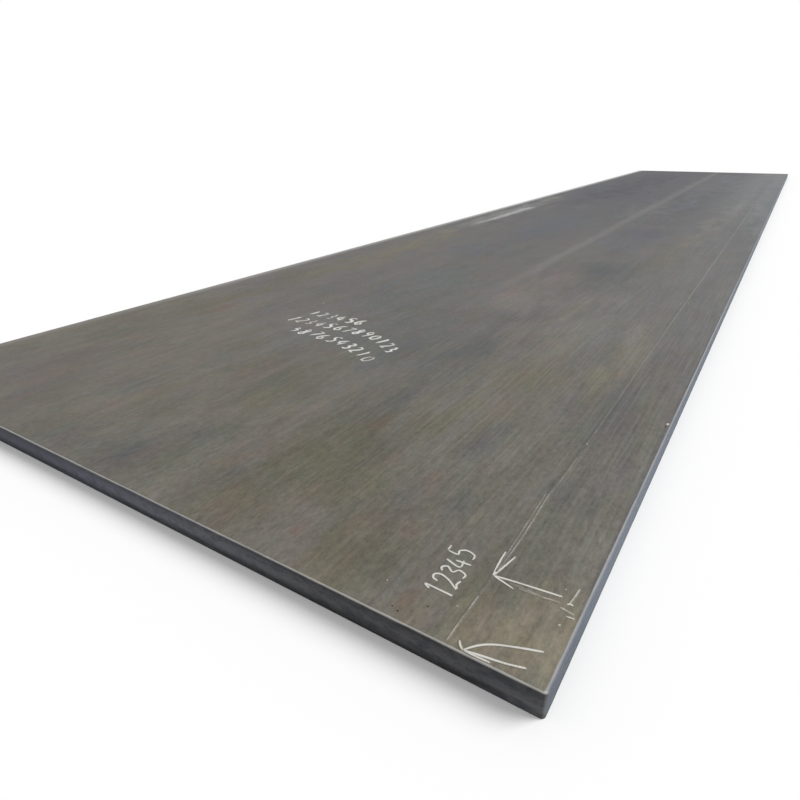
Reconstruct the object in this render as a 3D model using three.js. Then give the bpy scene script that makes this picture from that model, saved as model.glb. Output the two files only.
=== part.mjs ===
// A heavy hot-rolled steel plate, flame-cut to size on all four sides and lying flat.
// Millimetres. +X is the rolling direction, +Y crosses the plate and +Z is up.
// The origin is the centre of the underside.

import * as THREE from 'three';

// The finished plate
const LENGTH = 12150;
const WIDTH = 2500;
const THICKNESS = 60;

// The cut faces. The torch melts the top arris round, washes a shallow hollow into the face
// below it, and leaves an upright land down to the underside.
const SIDE_ARRIS_RADIUS = 6.5; // top arris along each long side, cut slowly
const END_ARRIS_RADIUS = 3.5; // top arris across each end
const BOTTOM_ARRIS_RADIUS = 1.5; // underside arris, with its dross knocked off
const LAND_HEIGHT = 20; // upright land above the bottom arris
const HOLLOW_DEPTH = 1.2; // at the deepest part of the hollow
const HOLLOW_DROP = 8; // from the top face down to the hollow's upper rim
const CORNER_RADIUS = 2; // plan corner of the top face, inside its arrises

// Facets
const ARRIS_STEPS = 8; // along a quarter round
const HOLLOW_STEPS = 14; // down the hollow
const CORNER_STEPS = 4; // for getPoints, which doubles it on an arc
const FINEST_STEP = 0.05; // levels closer than this are one level

const PLATE_COLOUR = 0x75736d;

const HOLLOW_BOTTOM_Z = BOTTOM_ARRIS_RADIUS + LAND_HEIGHT;
const HOLLOW_TOP_Z = THICKNESS - HOLLOW_DROP;

// How far a quarter round of this radius sets the face back at a height above its lower tangent.
function roundSetback(radius, height) {
  const rise = THREE.MathUtils.clamp(height, 0, radius);
  return radius - Math.sqrt(radius ** 2 - rise ** 2);
}

// The hollow is one full swing of a cosine between its rims, so that it runs out smoothly.
function hollowSetback(z) {
  const share = (z - HOLLOW_BOTTOM_Z) / (HOLLOW_TOP_Z - HOLLOW_BOTTOM_Z);
  const inside = share > 0 && share < 1;
  return inside ? (HOLLOW_DEPTH / 2) * (1 - Math.cos(2 * Math.PI * share)) : 0;
}

// How far a cut face lies inside the plate's largest outline at height z.
function faceSetback(z, topRadius) {
  const bottom = roundSetback(BOTTOM_ARRIS_RADIUS, BOTTOM_ARRIS_RADIUS - z);
  const top = roundSetback(topRadius, z - (THICKNESS - topRadius));
  return bottom + hollowSetback(z) + top;
}

// The heights at which a cut face bends, from the underside up.
function faceLevels() {
  const levels = [];
  for (let i = 0; i <= ARRIS_STEPS; i += 1) {
    const drop = 1 - Math.sin((Math.PI / 2) * (i / ARRIS_STEPS));
    levels.push(BOTTOM_ARRIS_RADIUS * drop);
    levels.push(THICKNESS - SIDE_ARRIS_RADIUS * drop);
    levels.push(THICKNESS - END_ARRIS_RADIUS * drop);
  }
  for (let i = 0; i <= HOLLOW_STEPS; i += 1) {
    levels.push(THREE.MathUtils.lerp(HOLLOW_BOTTOM_Z, HOLLOW_TOP_Z, i / HOLLOW_STEPS));
  }
  levels.sort((a, b) => a - b);
  const between = levels.filter((z, i) => {
    const below = i > 0 ? levels[i - 1] : 0;
    return z - Math.max(below, 0) > FINEST_STEP && THICKNESS - z > FINEST_STEP;
  });
  return [0, ...between, THICKNESS];
}

// The plate's plan outline with its ends and sides set back, counter-clockwise. The four
// corner arcs keep their centres, so that every level has the same points in the same order.
function outlineAt(endSetback, sideSetback) {
  const centreInset = CORNER_RADIUS + Math.max(SIDE_ARRIS_RADIUS, END_ARRIS_RADIUS);
  const cx = LENGTH / 2 - centreInset;
  const cy = WIDTH / 2 - centreInset;
  const rx = centreInset - endSetback;
  const ry = centreInset - sideSetback;
  const quarter = Math.PI / 2;
  const outline = new THREE.Path();
  outline.absellipse(cx, cy, rx, ry, 0, quarter);
  outline.absellipse(-cx, cy, rx, ry, quarter, 2 * quarter);
  outline.absellipse(-cx, -cy, rx, ry, 2 * quarter, 3 * quarter);
  outline.absellipse(cx, -cy, rx, ry, 3 * quarter, 4 * quarter);
  return outline.getPoints(CORNER_STEPS);
}

// A closed solid through a stack of outlines, each given as { z, points }.
function loftBetween(rings) {
  const count = rings[0].points.length;
  const positions = rings.flatMap(({ z, points }) => points.flatMap((p) => [p.x, p.y, z]));
  const faces = [];
  for (let level = 0; level + 1 < rings.length; level += 1) {
    for (let i = 0; i < count; i += 1) {
      const next = (i + 1) % count;
      const lower = level * count;
      const upper = lower + count;
      faces.push(lower + i, lower + next, upper + next);
      faces.push(lower + i, upper + next, upper + i);
    }
  }
  const top = (rings.length - 1) * count;
  const lidFaces = THREE.ShapeUtils.triangulateShape(rings[0].points, []);
  for (const [a, b, c] of lidFaces) {
    faces.push(a, c, b);
    faces.push(top + a, top + b, top + c);
  }
  const geometry = new THREE.BufferGeometry();
  geometry.setAttribute('position', new THREE.Float32BufferAttribute(positions, 3));
  geometry.setIndex(faces);
  geometry.computeVertexNormals();
  return geometry;
}

function makeSteelPlate() {
  const rings = faceLevels().map((z) => ({
    z,
    points: outlineAt(faceSetback(z, END_ARRIS_RADIUS), faceSetback(z, SIDE_ARRIS_RADIUS)),
  }));
  const millScale = new THREE.MeshStandardMaterial({
    color: PLATE_COLOUR,
    roughness: 0.6,
    metalness: 0.5,
  });
  const plate = new THREE.Mesh(loftBetween(rings), millScale);
  plate.name = 'steel_plate';
  return plate;
}

const part = new THREE.Group();
part.add(makeSteelPlate());

export default part;
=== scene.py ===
"""A hot-rolled steel plate, flame-cut on all four sides, with its mill scale and chalk marks.

Everything is in metres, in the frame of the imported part: +X is the rolling direction, +Y
crosses the plate, +Z is up, and the origin is the centre of the underside.
"""

import math

import bpy
import numpy as np
from bpy.props import FloatProperty, FloatVectorProperty, PointerProperty, StringProperty
from mathutils import Matrix, Vector


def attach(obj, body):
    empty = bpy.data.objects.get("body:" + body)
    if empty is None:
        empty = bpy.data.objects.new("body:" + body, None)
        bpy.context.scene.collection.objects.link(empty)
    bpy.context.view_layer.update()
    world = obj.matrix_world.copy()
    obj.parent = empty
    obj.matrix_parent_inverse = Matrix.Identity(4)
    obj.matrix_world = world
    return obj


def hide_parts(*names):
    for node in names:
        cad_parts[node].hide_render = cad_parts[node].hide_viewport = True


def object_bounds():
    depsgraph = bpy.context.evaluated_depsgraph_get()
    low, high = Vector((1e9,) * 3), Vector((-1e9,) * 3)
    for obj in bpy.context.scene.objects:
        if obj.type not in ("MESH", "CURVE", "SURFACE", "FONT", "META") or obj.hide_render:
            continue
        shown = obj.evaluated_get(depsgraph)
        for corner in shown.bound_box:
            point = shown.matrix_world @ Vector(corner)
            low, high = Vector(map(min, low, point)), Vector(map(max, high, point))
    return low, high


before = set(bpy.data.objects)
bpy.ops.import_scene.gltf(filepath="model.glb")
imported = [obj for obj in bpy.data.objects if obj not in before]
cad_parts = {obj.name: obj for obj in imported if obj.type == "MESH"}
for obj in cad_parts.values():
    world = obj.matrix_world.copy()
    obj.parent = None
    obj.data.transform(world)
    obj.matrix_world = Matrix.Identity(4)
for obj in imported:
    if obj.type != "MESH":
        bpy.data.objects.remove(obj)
CAD_LOW, CAD_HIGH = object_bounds()

bl_info = {
    "name": "Flame-cut steel plate",
    "version": (1, 0, 0),
    "blender": (4, 5, 0),
    "location": "3D View > Sidebar > Steel Plate",
    "description": "Builds a rolled steel plate with its cut faces, mill scale and chalk marks",
    "category": "Add Mesh",
}

MM = 0.001
BODY = "root"
PLATE_NODE = "steel_plate"

LENGTH, WIDTH, THICKNESS = CAD_HIGH - CAD_LOW
NEAR_END = CAD_LOW.x
RIGHT_SIDE = CAD_LOW.y

# Rings of points round the plate
CORNER_LINES = 4
CORNER_STEP = 1.5 * MM  # between two of the points round a corner
ARRIS_RINGS = 8
FACE_RINGS = 14
BOTTOM_RINGS = 4

# Where the grid lines of the rolled face crowd together: (place, closest gap, growth)
LENGTH_CROWDS = (
    (NEAR_END, 3.0 * MM, 0.05),
    (NEAR_END + 1.045, 2.5 * MM, 0.16),
    (NEAR_END + 0.62, 4.0 * MM, 0.22),
    (NEAR_END + 2.31, 4.0 * MM, 0.25),
    (CAD_HIGH.x, 5.0 * MM, 0.07),
)
WIDTH_CROWDS = (
    (RIGHT_SIDE, 3.0 * MM, 0.06),
    (CAD_HIGH.y, 5.0 * MM, 0.08),
)
WIDEST_GAP = 45.0 * MM
CROWD_SAMPLES = 40001

# What the torch leaves
ARRIS_SWAY = 0.07  # share by which the arris radius sways
RIPPLE_LAG = 8 * MM  # how far a ripple trails at the underside
BEAD_HEIGHT = 2.5 * MM  # of the dross on the bottom arris
NICKS = 26
NICK_REACH = 5 * MM  # below the rolled face

# Columns and rows of the bake, as shares of its width and height
BAKE_WIDTH = (0.008, 0.992)
BAKE_NEAR_HALF = (0.008, 0.494)
BAKE_FAR_HALF = (0.506, 0.992)
BAKE_TOP = (0.217, 0.992)
BAKE_RIGHT = (0.165, 0.207)
BAKE_LEFT = (0.115, 0.157)
BAKE_ENDS = (0.065, 0.107)
BAKE_UNDERSIDE = (0.008, 0.055)

# Chalk and flecks lie on the rolled face, with their lower side just inside it
CHALK_SINK = 0.03 * MM
RIBBON_SHARES = np.array((-1.0, -0.6, -0.2, 0.2, 0.6, 1.0))
LINE_SAMPLES = 64
CURVE_SAMPLES = 24
FINE_STEP = 3 * MM  # along a stroke
WIDE_STEP = 20 * MM  # along a stroke as wide as WIDE_STROKE
WIDE_STROKE = 20 * MM
FLECK_POINTS = 12

# The stage
FLOOR_REACH = 60.0
SENSOR_WIDTH = 36.0  # in millimetres
CLEAR_VIEW = (10 * MM, 200.0)  # nearest and furthest that the camera sees
WHITE = (1.0, 1.0, 1.0, 1.0)


# ---------------------------------------------------------------------------------------
# Values that a user may change


def paint(red, green, blue):
    """Scene colour of a paint given as screen values from 0 to 255."""
    parts = np.array((red, green, blue)) / 255.0
    parts = np.where(parts <= 0.04045, parts / 12.92, ((parts + 0.055) / 1.055) ** 2.4)
    return (*parts.tolist(), 1.0)


def plain_value(name, description, default, **limits):
    return FloatProperty(name=name, description=description, default=default, **limits)


def length_value(name, description, default):
    return plain_value(name, description, default, min=0.0, unit="LENGTH", precision=5)


def share_value(name, description, default):
    return plain_value(name, description, default, min=0.0, max=1.0, subtype="FACTOR")


def vector_value(name, description, default, **limits):
    return FloatVectorProperty(name=name, description=description, default=default, **limits)


def colour_value(name, description, default):
    return vector_value(name, description, default, size=4, min=0.0, max=1.0, subtype="COLOR")


class PlateSizes(bpy.types.PropertyGroup):
    side_arris: length_value("Side arris", "Radius melted on a long side's top arris", 6.5 * MM)
    end_arris: length_value("End arris", "Radius melted on the top arris of an end", 3.5 * MM)
    bottom_arris: length_value("Bottom arris", "Radius of the arris round the underside", 1.5 * MM)
    land: length_value("Land", "Height of the upright land above the bottom arris", 20 * MM)
    hollow_depth: length_value("Hollow depth", "How deep the jet washed the cut face", 1.2 * MM)
    hollow_drop: length_value("Hollow drop", "From the rolled face down to the hollow", 8 * MM)
    corner: length_value("Corner", "Plan radius of the rolled face's corners", 2 * MM)
    top_sink: length_value("Scale loss", "How far the rolled face lies under full height", 0.45 * MM)
    clearance: length_value("Cut clearance", "How far a cut face lies inside full size", 0.35 * MM)
    roll_wave: length_value("Rolling swell", "Height of the swell left by the rolls", 0.12 * MM)
    torch_ripple: length_value("Torch ripple", "Depth of the ripple left by the torch", 0.35 * MM)


class MillScaleFinish(bpy.types.PropertyGroup):
    near: colour_value("Near ground", "Scale at the chalked end", paint(112, 108.5, 101))
    middle: colour_value("Middle ground", "Scale in the middle", paint(106, 104, 102.5))
    far: colour_value("Far ground", "Scale at the far end", paint(88, 89, 93))
    olive: colour_value("Olive bloom", "Thin yellow-green oxide", paint(97.5, 95, 82))
    gold: colour_value("Gold bloom", "Thin straw-coloured oxide", paint(114, 109, 94))
    rust: colour_value("Rust bloom", "Red-brown oxide", paint(114, 98, 90))
    pink: colour_value("Pink bloom", "Thin rose-coloured oxide", paint(117, 110, 106))
    violet: colour_value("Violet bloom", "Temper colour", paint(89, 87, 95))
    blue: colour_value("Blue bloom", "Temper colour", paint(94, 97, 104))
    teal: colour_value("Teal bloom", "Temper colour", paint(98, 103, 103))
    grey: colour_value("Grey bloom", "Thin neutral oxide", paint(101, 102, 101))
    slate: colour_value("Slate", "Thick dark scale", paint(90, 92, 93))
    dusk: colour_value("Dusk", "Thick blue-black scale", paint(74, 75, 80))
    light: colour_value("Light bloom", "Thin grey scale", paint(126, 127, 127))
    sand: colour_value("Sand bloom", "Scale rubbed to a pale straw", paint(136, 129, 111))
    pale: colour_value("Rubbed scale", "Scale rubbed pale", paint(156, 153, 146))
    stripe: colour_value("Stripe", "The pale stripe along the middle", paint(130, 127.5, 123))
    scuff: colour_value("Scuff", "Metal rubbed white by the left side", paint(215, 214, 211))
    haze: colour_value("Haze", "Lightly rubbed scale round the scuff", paint(158, 158, 156))
    # Painted shade in a dent before the scuff
    dent_shade: colour_value("Dent", "The dark dent before the scuff", paint(70, 72, 72))
    faded: colour_value("Faded scale", "Scale beyond the scuff", paint(140, 138, 130))
    # Rim: a painted sheen along the left edge of the rolled face
    rim: colour_value("Rim", "The worn rim along the left side", paint(200, 199, 196))
    pit: colour_value("Pits", "Small dark pits", (0.03, 0.028, 0.026, 1.0))
    streaks: share_value("Streaks", "Strength of the rolling streaks", 0.68)
    lines: share_value("Light lines", "Strength of the long light lines", 0.13)
    tone: share_value("Clouds", "Strength of the light and dark clouds", 0.6)
    grain: share_value("Grain", "Strength of the fine mottle", 0.8)
    bump: length_value("Relief", "Depth of the scale's relief", 0.25 * MM)


class CutFaceFinish(bpy.types.PropertyGroup):
    # The long sides' blue-grey is partly oxide and partly painted sky light
    side: colour_value("Side ground", "Oxide on the long sides", paint(105, 113, 123))
    side_cool: colour_value("Side, cool", "Blue blotches on a long side", paint(124, 136, 142))
    side_warm: colour_value("Side, warm", "Brown blotches on a long side", paint(112, 106, 112))
    # Side arris colour: partly wear, partly painted highlight
    side_arris: colour_value("Side arris", "Top arris of a long side", paint(152, 151, 154))
    # The ends' ground is darker than the sides' partly as painted shade
    end: colour_value("End ground", "Oxide on the ends", paint(96, 97, 101))
    end_cool: colour_value("End, cool", "Blue blotches on an end", paint(92, 98, 108))
    end_warm: colour_value("End, warm", "Brown blotches on an end", paint(72, 68, 72))
    # End arris colour: partly wear, partly painted highlight; the flecks use it for bright metal
    end_arris: colour_value("End arris", "Top arris of an end", paint(192, 190, 185))
    # Dark oxide, and the colour of the painted shade low on a cut face; flecks use it for slag and a
    # painted shadow
    soot_and_shade: colour_value("Soot", "Dark oxide low on a cut face", paint(46, 47, 50))
    bump: length_value("Drag relief", "Depth of the drag lines", 0.35 * MM)


class ChalkMarks(bpy.types.PropertyGroup):
    colour: colour_value("Chalk", "Dry marking chalk", paint(212, 211, 205))
    height: length_value("Thickness", "Thickness of the chalk left on the plate", 0.2 * MM)
    stroke: length_value("Stroke", "Width of a hand-drawn stroke", 8 * MM)
    bold: length_value("Bold stroke", "Width of a stroke in the middle rows", 19 * MM)
    line: length_value("Snapped line", "Width of a snapped line", 8 * MM)
    number: StringProperty(
        name="Number", description="Plain digits chalked by the corner", default="12345"
    )


class StageSettings(bpy.types.PropertyGroup):
    floor: colour_value("Floor", "The plain floor", (0.9, 0.9, 0.9, 1.0))
    bounce: colour_value("Floor bounce", "What the floor gives back", (0.30, 0.30, 0.30, 1.0))
    floor_lift: plain_value("Floor lift", "Light that the floor adds for the eye", 0.10, min=0.0)
    sky: plain_value("Sky", "Strength of the even light from all round", 0.45, min=0.0)
    lamp: plain_value("Lamp", "Strength of the broad soft lamp", 2.7, min=0.0)
    lamp_angle: plain_value("Lamp angle", "Apparent size of the lamp", math.radians(35),
                            subtype="ANGLE")
    lamp_from: vector_value("Lamp from", "Direction that the lamp shines from",
                            (0.45, -0.62, 0.64), subtype="DIRECTION")
    eye: vector_value("Eye", "Where the camera stands", (-6.7026, -1.3955, 0.848),
                      subtype="TRANSLATION", unit="LENGTH")
    look: vector_value("Look", "Direction that the camera looks in", (0.7582, 0.4943, -0.4253),
                       subtype="DIRECTION")
    tilt: plain_value("Tilt", "Turn of the camera about its own line of sight",
                      math.radians(-0.75), subtype="ANGLE")
    lens: plain_value("Lens", "Focal length on a 36 mm sensor", 25.92, unit="CAMERA")


# ---------------------------------------------------------------------------------------
# Shapes


def swell(along, across, longest, shortest, count, seed):
    """A smooth field of about unit spread: the sum of `count` cosine waves over the root of
    their number. Their lengths step evenly in ratio from longest to shortest, and each has
    a seeded heading and phase."""
    draw = np.random.default_rng(seed)
    heading = draw.uniform(0.0, 2.0 * np.pi, count)
    phase = draw.uniform(0.0, 2.0 * np.pi, count)
    field = 0.0
    for wave, turn, start in zip(np.geomspace(longest, shortest, count), heading, phase):
        path = along * np.cos(turn) + across * np.sin(turn)
        field = field + np.cos(2.0 * np.pi * path / wave + start)
    return field / math.sqrt(2.0 * count)


def top_height(x, y, sizes):
    """Height of the rolled face: full thickness, less the lost scale, plus a slow swell."""
    lift = np.clip(swell(x, y, 2.6, 0.7, count=7, seed=11), -1.6, 1.6) / 1.6
    return THICKNESS - sizes.top_sink + sizes.roll_wave * lift


def crowded(start, stop, crowds):
    """Grid lines from start to stop. The gap at a place is the least of the widest gap and,
    for each crowd, its closest gap plus its growth times the distance to it. The lines sit
    where the running sum of one over the gap passes equal steps."""
    fine = np.linspace(start, stop, CROWD_SAMPLES)
    gap = np.full_like(fine, WIDEST_GAP)
    for place, closest, growth in crowds:
        gap = np.minimum(gap, closest + growth * np.abs(fine - place))
    count = np.concatenate(([0.0], np.cumsum(0.5 * (1 / gap[1:] + 1 / gap[:-1]) * np.diff(fine))))
    steps = int(math.ceil(count[-1]))
    return np.interp(np.linspace(0.0, count[-1], steps + 1), count, fine)


def corner_lines(middle):
    """The lines of one direction with CORNER_LINES more beyond each end. Returns where each
    line is based and its share of the way out across the corner, from -1 to 1."""
    beyond = np.arange(1, CORNER_LINES + 1) / CORNER_LINES
    base = np.concatenate((np.full(CORNER_LINES, middle[0]), middle,
                           np.full(CORNER_LINES, middle[-1])))
    share = np.concatenate((-beyond[::-1], np.zeros(len(middle)), beyond))
    return base, share


def rounded(base, share, reach):
    """Turns square corners into quarter ellipses. With u and v the shares in x and y, the
    point is base + reach times (u sqrt(1 - v^2/2), v sqrt(1 - u^2/2))."""
    u, v = share
    x = base[0] + reach[0] * u * np.sqrt(1.0 - v * v / 2.0)
    y = base[1] + reach[1] * v * np.sqrt(1.0 - u * u / 2.0)
    return x, y


def corner_inset(sizes):
    """How far inside the plate's outline the centres of its rounded corners lie."""
    return sizes.corner + max(sizes.side_arris, sizes.end_arris)


def hollow_setback(z, sizes):
    """One full swing of a cosine between the hollow's rims, zero outside them."""
    low, high = sizes.bottom_arris + sizes.land, THICKNESS - sizes.hollow_drop
    share = np.clip((z - low) / (high - low), 0.0, 1.0)
    return sizes.hollow_depth / 2.0 * (1.0 - np.cos(2.0 * np.pi * share))


def torch_marks(arc, z, sizes):
    """How far the cut lies inside its clearance at a place along the outline and a height:
    a ripple that leans with depth, less the beads of dross on the bottom arris, plus a few
    bell-shaped nicks in the top arris."""
    lag = RIPPLE_LAG * (1.0 - z / THICKNESS) ** 2
    ripple = swell(arc + lag, z * 0.4, 0.30, 0.011, count=16, seed=5)
    depth = sizes.torch_ripple * (0.5 + 0.3 * np.clip(ripple, -1.6, 1.6))
    low = np.exp(-((z / BEAD_HEIGHT) ** 2))
    bead = swell(arc, 0 * z, 0.09, 0.013, count=9, seed=23)
    bead = np.clip(bead, 0.0, 1.5) / 1.5
    depth = depth * (1.0 - 0.8 * low) - sizes.clearance * bead * low
    draw = np.random.default_rng(31)
    total = arc.max()
    for _ in range(NICKS):
        place = draw.uniform(0.0, total)
        wide = draw.uniform(3.0, 9.0) * MM
        deep = draw.uniform(0.3, 1.3) * MM
        near = np.exp(-(((arc - place) / wide) ** 2) - (((THICKNESS - z) / NICK_REACH) ** 2))
        depth = depth + deep * near
    return depth


def plate_rings(bases, shares, sizes):
    """Rings round the plate from just below the rolled face down to the underside. Each is
    the rounded outline set back by the arris, the hollow and the torch's marks."""
    ends, sides = np.abs(shares[0]), np.abs(shares[1])
    endness = np.where(ends + sides > 0, ends / np.maximum(ends + sides, 1e-9), 0.0)
    inset = corner_inset(sizes)
    step = np.hypot(np.diff(bases[0], append=bases[0][:1]), np.diff(bases[1], append=bases[1][:1]))
    step = step + (shares[0] != 0) * (shares[1] != 0) * CORNER_STEP
    arc = np.concatenate(([0.0], np.cumsum(step)[:-1]))
    sway = swell(arc, 0 * arc, 0.24, 0.019, count=11, seed=3)
    melt = 1.0 - ARRIS_SWAY * (1.0 + np.clip(sway, -1.0, 1.0))
    end_radius, side_radius = sizes.end_arris * melt, sizes.side_arris * melt
    radius = side_radius * (1 - endness) + end_radius * endness
    rim = top_height(*rounded(bases, shares, (inset - end_radius, inset - side_radius)), sizes)
    rings = []
    for k in range(ARRIS_RINGS + 1):
        turn = np.pi / 2.0 * k / ARRIS_RINGS
        back = 1.0 - np.sin(turn)
        drop = 1.0 - np.cos(turn)
        rings.append((end_radius * back, side_radius * back, rim - radius * drop))
    for k in range(1, FACE_RINGS + 1):
        z = (rim - radius) + (sizes.bottom_arris - (rim - radius)) * (k / FACE_RINGS)
        back = hollow_setback(z, sizes)
        rings.append((back, back, z))
    for k in range(1, BOTTOM_RINGS + 1):
        turn = np.pi / 2.0 * k / BOTTOM_RINGS
        back = np.full_like(arc, sizes.bottom_arris * (1.0 - np.cos(turn)))
        z = np.full_like(arc, sizes.bottom_arris * (1.0 - np.sin(turn)))
        rings.append((back, back, z))
    points = []
    for level, (end_back, side_back, z) in enumerate(rings):
        marks = (sizes.clearance + torch_marks(arc, z, sizes)) * min(1.0, level / 2.0)
        reach = inset - end_back - marks, inset - side_back - marks
        x, y = rounded(bases, shares, reach)
        points.append(np.stack((x, y, z), axis=1))
    return np.array(points)


def plate_arrays(sizes):
    """The closed plate as one grid over the rolled face, rings down its four cut faces and
    cross strips over the underside."""
    inset = corner_inset(sizes)
    lines_x = crowded(CAD_LOW.x + inset, CAD_HIGH.x - inset, LENGTH_CROWDS)
    lines_y = crowded(CAD_LOW.y + inset, CAD_HIGH.y - inset, WIDTH_CROWDS)
    base_x, share_x = corner_lines(lines_x)
    base_y, share_y = corner_lines(lines_y)
    nx, ny = len(base_x), len(base_y)
    index = np.arange(nx * ny).reshape(nx, ny)
    rim = np.concatenate((index[:, 0], index[-1, 1:], index[-2::-1, -1], index[0, -2:0:-1]))
    grid_base = [a.ravel() for a in np.meshgrid(base_x, base_y, indexing="ij")]
    grid_share = [a.ravel() for a in np.meshgrid(share_x, share_y, indexing="ij")]
    rings = plate_rings([b[rim] for b in grid_base], [s[rim] for s in grid_share], sizes)
    reach = inset - sizes.end_arris, inset - sizes.side_arris
    x, y = rounded(grid_base, grid_share, reach)
    points = np.stack((x, y, top_height(x, y, sizes)), axis=1)
    points[rim] = rings[0]
    lower_rings = nx * ny + np.arange((len(rings) - 1) * len(rim)).reshape(-1, len(rim))
    below = np.concatenate((rim[None, :], lower_rings))
    points = np.concatenate((points, rings[1:].reshape(-1, 3)))

    top = np.stack((index[:-1, :-1], index[1:, :-1], index[1:, 1:], index[:-1, 1:]), axis=-1)
    upper, lower = below[:-1], below[1:]
    upper_next, lower_next = np.roll(upper, -1, axis=1), np.roll(lower, -1, axis=1)
    cut = np.stack((upper, lower, lower_next, upper_next), axis=-1)

    # The last ring runs along the right side, the far end, the left side and the near end
    last = below[-1]
    right, left = last[:nx], last[nx + ny - 2:2 * nx + ny - 2][::-1]
    near = np.concatenate(([last[0]], last[:2 * nx + ny - 4:-1]))
    far = last[nx - 1:nx + ny - 1]
    strips = np.stack((right[1:-2], left[1:-2], left[2:-1], right[2:-1]), axis=-1)
    near_cap = [*near.tolist(), int(left[1]), int(right[1])]
    far_cap = [*far[::-1].tolist(), int(right[-2]), int(left[-2])]
    return {
        "points": points, "top": top.reshape(-1, 4), "cut": cut, "strips": strips,
        "caps": [near_cap, far_cap], "sides": (nx, ny),
    }


def plate_layout(made):
    """Where each corner of each face lies on the bake. The rolled face fills the upper four
    fifths, the cut faces lie in three rows below it, and the underside in a last row."""
    points = made["points"]
    along = (points[:, 0] - CAD_LOW.x) / LENGTH
    across = (points[:, 1] - CAD_LOW.y) / WIDTH

    def between(shares, ends):
        return ends[0] + (ends[1] - ends[0]) * shares

    def flat(faces, row):
        return np.stack((between(along[faces], BAKE_WIDTH), between(across[faces], row)), axis=-1)

    nx, ny = made["sides"]
    corners = made["cut"]
    levels, around = corners.shape[:2]
    drop = np.broadcast_to((np.arange(levels) / levels)[:, None], (levels, around))
    height = 1.0 - np.stack((drop, drop + 1 / levels, drop + 1 / levels, drop), axis=-1)
    place = np.arange(around)
    far, left, near = nx - 1, nx + ny - 2, 2 * nx + ny - 3
    bands = (
        (place < far, along, BAKE_WIDTH, BAKE_RIGHT),
        ((place >= far) & (place < left), across, BAKE_FAR_HALF, BAKE_ENDS),
        ((place >= left) & (place < near), along, BAKE_WIDTH, BAKE_LEFT),
        (place >= near, across, BAKE_NEAR_HALF, BAKE_ENDS),
    )
    cut = np.zeros((*corners.shape, 2))
    for chosen, shares, columns, row in bands:
        band = between(shares[corners[:, chosen]], columns), between(height[:, chosen], row)
        cut[:, chosen] = np.stack(band, axis=-1)
    pieces = [flat(made["top"], BAKE_TOP).reshape(-1, 2), cut.reshape(-1, 2),
              flat(made["strips"], BAKE_UNDERSIDE).reshape(-1, 2)]
    pieces += [flat(np.array(cap), BAKE_UNDERSIDE) for cap in made["caps"]]
    return np.concatenate(pieces)


def smooth_path(points, gap):
    """A Catmull-Rom curve through the points, walked in even steps of about `gap`. Between
    two points it is the cubic whose slope at each is half the step between its neighbours."""
    p = np.asarray(points, float)
    if len(p) == 2:
        dense = p[0] + np.linspace(0, 1, LINE_SAMPLES)[:, None] * (p[1] - p[0])
    else:
        padded = np.concatenate((2 * p[:1] - p[1:2], p, 2 * p[-1:] - p[-2:-1]))
        t = np.linspace(0.0, 1.0, CURVE_SAMPLES, endpoint=False)[None, :, None]
        a, b, c, d = (padded[i:len(padded) - 3 + i, None, :] for i in range(4))
        dense = 0.5 * (2 * b + (c - a) * t + (2 * a - 5 * b + 4 * c - d) * t ** 2
                       + (3 * b - a - 3 * c + d) * t ** 3)
        dense = np.concatenate((dense.reshape(-1, 2), p[-1:]))
    walked = np.concatenate(([0.0], np.cumsum(np.hypot(*np.diff(dense, axis=0).T))))
    steps = max(6, int(round(walked[-1] / gap)))
    even = np.linspace(0.0, walked[-1], steps + 1)
    return np.stack([np.interp(even, walked, dense[:, i]) for i in (0, 1)], axis=1), even


def ribbon(path, width, weight, sizes, marks):
    """A thin lens of chalk along a path. At share v across, from -1 to 1, its upper side is
    marks.height (1 - v^2) above the rolled face, and its lower side is just inside it. Its
    half width follows a half circle over the last half width at each end. The weight of the
    chalk sways along it and falls off towards its ends."""
    line, walked = smooth_path(path, FINE_STEP if width < WIDE_STROKE else WIDE_STEP)
    tangent = np.gradient(line, axis=0)
    tangent /= np.maximum(np.hypot(*tangent.T), 1e-12)[:, None]
    normal = np.stack((-tangent[:, 1], tangent[:, 0]), axis=1)
    half = width / 2.0
    to_end = np.minimum(walked, walked[-1] - walked)
    taper = np.sqrt(np.clip(1.0 - (1.0 - np.clip(to_end / half, 0, 1)) ** 2, 0.02, 1.0))
    across = RIBBON_SHARES[None, :, None] * (half * taper)[:, None, None]
    flat = line[:, None, :] + normal[:, None, :] * across
    z = top_height(flat[..., 0], flat[..., 1], sizes)
    z = z - CHALK_SINK + (marks.height * (1.0 - RIBBON_SHARES ** 2))[None, :] * taper[:, None]
    press = 1.0 + 0.14 * np.sin(walked / (13 * MM) + 900.0 * line[0, 0])
    press = weight * press * np.interp(to_end, (0.0, 2.5 * half), (0.75, 1.0))
    points = np.concatenate((flat, z[..., None]), axis=2)
    rings, ring = points.shape[:2]
    index = np.arange(rings * ring).reshape(rings, ring)
    following = np.roll(index, -1, axis=1)
    faces = np.stack((index[:-1], index[1:], following[1:], following[:-1]), axis=-1)
    shares = np.stack(np.broadcast_arrays(walked[:, None], (RIBBON_SHARES + 1) / 2), axis=-1)
    return {
        "points": points.reshape(-1, 3), "faces": faces.reshape(-1, 4).tolist(),
        "caps": [index[0].tolist(), index[-1][::-1].tolist()],
        "uv": shares.reshape(-1, 2), "weight": np.repeat(press, ring),
    }


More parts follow.
